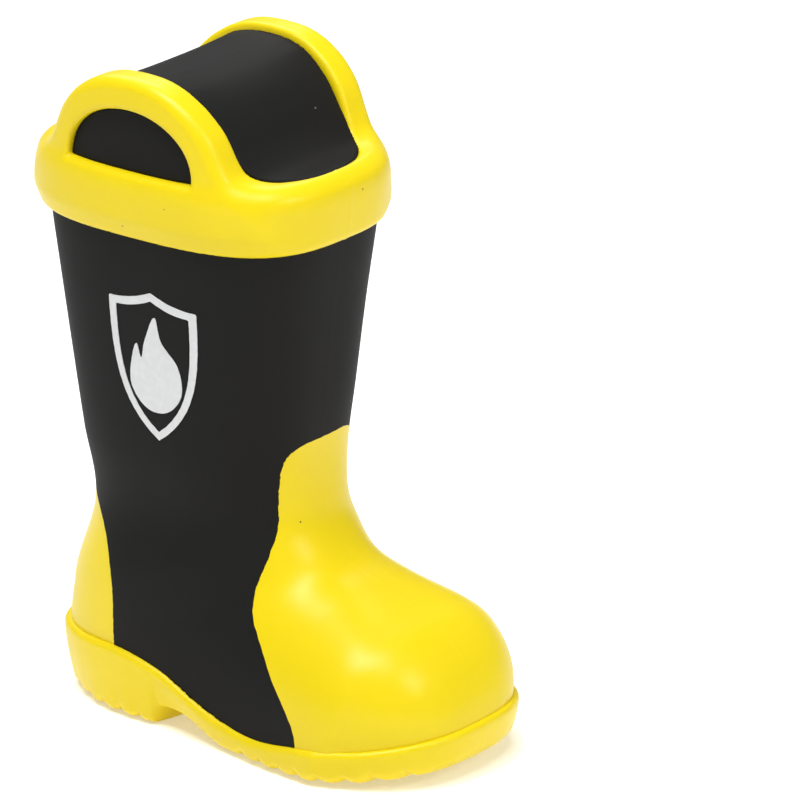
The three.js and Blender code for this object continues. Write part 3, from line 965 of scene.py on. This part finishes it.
# Scales of the textures are per metre.
SKIN_NOISE = dict(mottle=55, fleck=150, grain=1400, dents=260)
FLECK_SIZE = 0.024
GRAIN_SHARE = 0.25
ROUGHNESS_SWING = 0.08  # how much the mottling changes the roughness
SKIN_BUMP = (0.35, 0.05 * MM)  # strength, depth in metres
# The parting line, a groove in the bump with painted shade along it: how fast and how far it wanders, its
# half width, and how fast it fades in.
PARTING = dict(wander=160, off=0.5 * MM, half=0.16 * MM, fade=50)
RAW_CELLS = dict(scale=1100, roundness=0.6)
RAW_BUMP = (0.6, 0.25 * MM)
PRINT_PATCHES = 900


def new_material(name):
    """A new material, with its nodes, its links and its shader."""
    material = bpy.data.materials.new(name)
    material.use_nodes = True
    nodes = material.node_tree.nodes
    return material, nodes, material.node_tree.links, nodes["Principled BSDF"]


def object_place(nodes):
    return nodes.new("ShaderNodeTexCoord").outputs["Object"]


def math_node(nodes, links, operation, first, second, clamp=False):
    """A Math node; first and second are sockets or numbers."""
    node = nodes.new("ShaderNodeMath")
    node.operation = operation
    node.use_clamp = clamp
    for socket, value in zip(node.inputs, (first, second)):
        if hasattr(value, "links"):
            links.new(value, socket)
        else:
            socket.default_value = value
    return node.outputs[0]


def noise(nodes, links, place, scale, detail):
    node = nodes.new("ShaderNodeTexNoise")
    node.inputs["Scale"].default_value = scale
    node.inputs["Detail"].default_value = detail
    links.new(place, node.inputs["Vector"])
    return node.outputs["Fac"]


def cell_distance(nodes, links, place, scale):
    node = nodes.new("ShaderNodeTexVoronoi")
    node.inputs["Scale"].default_value = scale
    links.new(place, node.inputs["Vector"])
    return node.outputs["Distance"]


def mix_colors(nodes, links, share, first, second):
    node = nodes.new("ShaderNodeMix")
    node.data_type = "RGBA"
    links.new(share, node.inputs[0])
    for socket, value in ((node.inputs[6], first), (node.inputs[7], second)):
        if hasattr(value, "links"):
            links.new(value, socket)
        else:
            socket.default_value = (*value, 1)
    return node.outputs[2]


def add_bump(nodes, links, shader, height, strength, depth):
    bump = nodes.new("ShaderNodeBump")
    bump.inputs["Strength"].default_value = strength
    bump.inputs["Distance"].default_value = depth
    links.new(height, bump.inputs["Height"])
    links.new(bump.outputs["Normal"], shader.inputs["Normal"])


def parting_line(nodes, links, place):
    """The parting line's groove and its painted shade: a fine line down the middle of the back, broken here
    and there, that fades towards the front.
    """
    split = nodes.new("ShaderNodeSeparateXYZ")
    links.new(place, split.inputs[0])
    wander = noise(nodes, links, place, PARTING["wander"], detail=1)
    wander = math_node(nodes, links, "MULTIPLY", wander, PARTING["off"])
    wander = math_node(nodes, links, "SUBTRACT", wander, PARTING["off"] / 2)
    off = math_node(nodes, links, "ADD", split.outputs["X"], wander)
    off = math_node(nodes, links, "ABSOLUTE", off, 0)
    near = math_node(nodes, links, "MULTIPLY", off, 1 / PARTING["half"])
    line = math_node(nodes, links, "SUBTRACT", 1, near, clamp=True)
    behind = math_node(nodes, links, "MULTIPLY", split.outputs["Y"], PARTING["fade"], clamp=True)
    return math_node(nodes, links, "MULTIPLY", line, behind)


def foam_material(name, color, shade, fleck, crease, roughness, gloss):
    """Painted foam skin: soft mottling, fine grain, rare flecks and, if it has a crease colour, a parting
    line grooved in the bump and darkened with painted shade.
    """
    material, nodes, links, shader = new_material(name)
    place = object_place(nodes)
    mottle = noise(nodes, links, place, SKIN_NOISE["mottle"], detail=3)
    base = mix_colors(nodes, links, mottle, color, shade)
    cells = cell_distance(nodes, links, place, SKIN_NOISE["fleck"])
    speck = math_node(nodes, links, "LESS_THAN", cells, FLECK_SIZE)
    base = mix_colors(nodes, links, speck, base, fleck)
    grain = noise(nodes, links, place, SKIN_NOISE["grain"], detail=2)
    dents = noise(nodes, links, place, SKIN_NOISE["dents"], detail=2)
    height = math_node(nodes, links, "MULTIPLY", grain, GRAIN_SHARE)
    height = math_node(nodes, links, "ADD", height, dents)
    if crease:
        line = parting_line(nodes, links, place)
        height = math_node(nodes, links, "SUBTRACT", height, line)
        # painted shade: the crease colour darkens the parting line's groove
        base = mix_colors(nodes, links, line, base, crease)
    links.new(base, shader.inputs["Base Color"])
    add_bump(nodes, links, shader, height, *SKIN_BUMP)
    rough = math_node(nodes, links, "MULTIPLY", mottle, ROUGHNESS_SWING)
    rough = math_node(nodes, links, "ADD", rough, roughness - ROUGHNESS_SWING / 2)
    links.new(rough, shader.inputs["Roughness"])
    shader.inputs["Specular IOR Level"].default_value = gloss
    return material


def raw_foam_material():
    """Open-celled foam: a warm yellow with fine pits, darker inside them with painted shade."""
    material, nodes, links, shader = new_material("raw_foam_body")
    cells = cell_distance(nodes, links, object_place(nodes), RAW_CELLS["scale"])
    pits = math_node(nodes, links, "POWER", cells, RAW_CELLS["roundness"])
    # painted shade: the pits, dented by the bump, take the darker colour
    links.new(mix_colors(nodes, links, pits, RAW_PIT_SHADE, RAW_FOAM), shader.inputs["Base Color"])
    add_bump(nodes, links, shader, pits, *RAW_BUMP)
    shader.inputs["Roughness"].default_value = RAW_ROUGHNESS
    return material


def print_material():
    material, nodes, links, shader = new_material("pad_print_white")
    patchy = noise(nodes, links, object_place(nodes), PRINT_PATCHES, detail=3)
    base = mix_colors(nodes, links, patchy, PRINT_WHITE, PRINT_SHADE)
    links.new(base, shader.inputs["Base Color"])
    shader.inputs["Roughness"].default_value = PRINT_ROUGHNESS
    return material


yellow = foam_material("yellow_foam_skin", **YELLOW_PAINT)
black = foam_material("black_foam_skin", **BLACK_PAINT)
black_cover = foam_material("black_foam_cover", **COVER_PAINT)
white = print_material()

PIECES = [
    (shaft, black, "shaft_skin", "black_foam"),
    (toe_cap, yellow, "toe_cap", "yellow_foam"),
    (heel_counter, yellow, "heel_counter", "yellow_foam"),
    (outsole, yellow, "outsole", "yellow_sole"),
    (collar, yellow, "collar_with_handles", "yellow_foam"),
    (cover, black_cover, "mouth_cover", "black_foam"),
    (window_left, black, "window_panel_left", "black_foam"),
    (window_right, black, "window_panel_right", "black_foam"),
    (badge_ring, white, "print_badge_ring", "white_print"),
    (flame, white, "print_flame", "white_print"),
    (core, raw_foam_material(), "foam_core", "raw_foam"),
]
for piece, material, node, slot in PIECES:
    piece.data.materials.append(material)
    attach(piece, "root")
    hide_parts(node)


# ---- floor, lights and camera, in metres
AIM = Vector((0, LEG_Y * MM, (cad_box[0].z + cad_box[1].z) / 2))
VIEW = dict(azimuth=-51, elevation=20, distance=1.5)
VIEW_TURN = dict(roll=-0.2, turn=-1.16, dip=-0.16)  # degrees, so that the boot stands left of the middle
LENS = 419.9
SENSOR = 36
FLOOR = dict(reach=4, z=-0.0002, shade=0.9, glow=0.3, rough=0.9)
WORLD_LIGHT = 0.2
LIGHTS = [
    ("top_softbox", -100, 70, 0.8, (0.29, 0.29), 3.6),
    ("front_softbox", 2, 34, 0.9, (0.18, 0.22), 1.6),
    ("key_softbox", -42, 68, 1, (0.4, 0.4), 4.2),
    ("back_softbox", 140, 48, 1, (0.6, 0.6), 4.2),
]  # name, azimuth, elevation, distance, size, power


def make_floor():
    material, nodes, links, shader = new_material("pale_floor")
    shader.inputs["Base Color"].default_value = (FLOOR["shade"], FLOOR["shade"], FLOOR["shade"], 1)
    shader.inputs["Roughness"].default_value = FLOOR["rough"]
    shader.inputs["Emission Color"].default_value = (1, 1, 1, 1)
    shader.inputs["Emission Strength"].default_value = FLOOR["glow"]
    mesh = bpy.data.meshes.new("floor")
    r = FLOOR["reach"]
    mesh.from_pydata([(-r, -r, 0), (r, -r, 0), (r, r, 0), (-r, r, 0)], [], [(0, 1, 2, 3)])
    floor = bpy.data.objects.new("floor", mesh)
    floor.location.z = FLOOR["z"]
    mesh.materials.append(material)
    bpy.context.scene.collection.objects.link(floor)


def around(azimuth, elevation):
    """Unit vector towards a compass point: azimuth 0 is in front of the toe, 90 on the left flank."""
    a, e = math.radians(azimuth), math.radians(elevation)
    return Vector((math.sin(a) * math.cos(e), -math.cos(a) * math.cos(e), math.sin(e)))


def soft_light(name, azimuth, elevation, distance, size, power):
    data = bpy.data.lights.new(name, "AREA")
    data.shape = "RECTANGLE"
    data.size, data.size_y = size
    data.energy = power
    light = bpy.data.objects.new(name, data)
    way = around(azimuth, elevation)
    light.location = AIM + way * distance
    light.rotation_mode = "QUATERNION"
    light.rotation_quaternion = way.to_track_quat("Z", "Y")
    bpy.context.scene.collection.objects.link(light)


def make_camera():
    data = bpy.data.cameras.new("camera")
    data.lens = LENS
    data.sensor_width = SENSOR
    camera = bpy.data.objects.new("camera", data)
    way = around(VIEW["azimuth"], VIEW["elevation"])
    camera.location = AIM + way * VIEW["distance"]
    camera.rotation_mode = "QUATERNION"
    turn = Quaternion((0, 0, 1), math.radians(VIEW_TURN["roll"]))
    turn = turn @ Quaternion((0, 1, 0), math.radians(VIEW_TURN["turn"]))
    turn = turn @ Quaternion((1, 0, 0), math.radians(VIEW_TURN["dip"]))
    camera.rotation_quaternion = way.to_track_quat("Z", "Y") @ turn
    bpy.context.scene.collection.objects.link(camera)
    bpy.context.scene.camera = camera


make_floor()
make_camera()
for light_row in LIGHTS:
    soft_light(*light_row)

world = bpy.data.worlds.new("studio")
world.use_nodes = True
world.node_tree.nodes["Background"].inputs["Color"].default_value = (1, 1, 1, 1)
world.node_tree.nodes["Background"].inputs["Strength"].default_value = WORLD_LIGHT
bpy.context.scene.world = world
bpy.context.scene.view_settings.view_transform = "Standard"
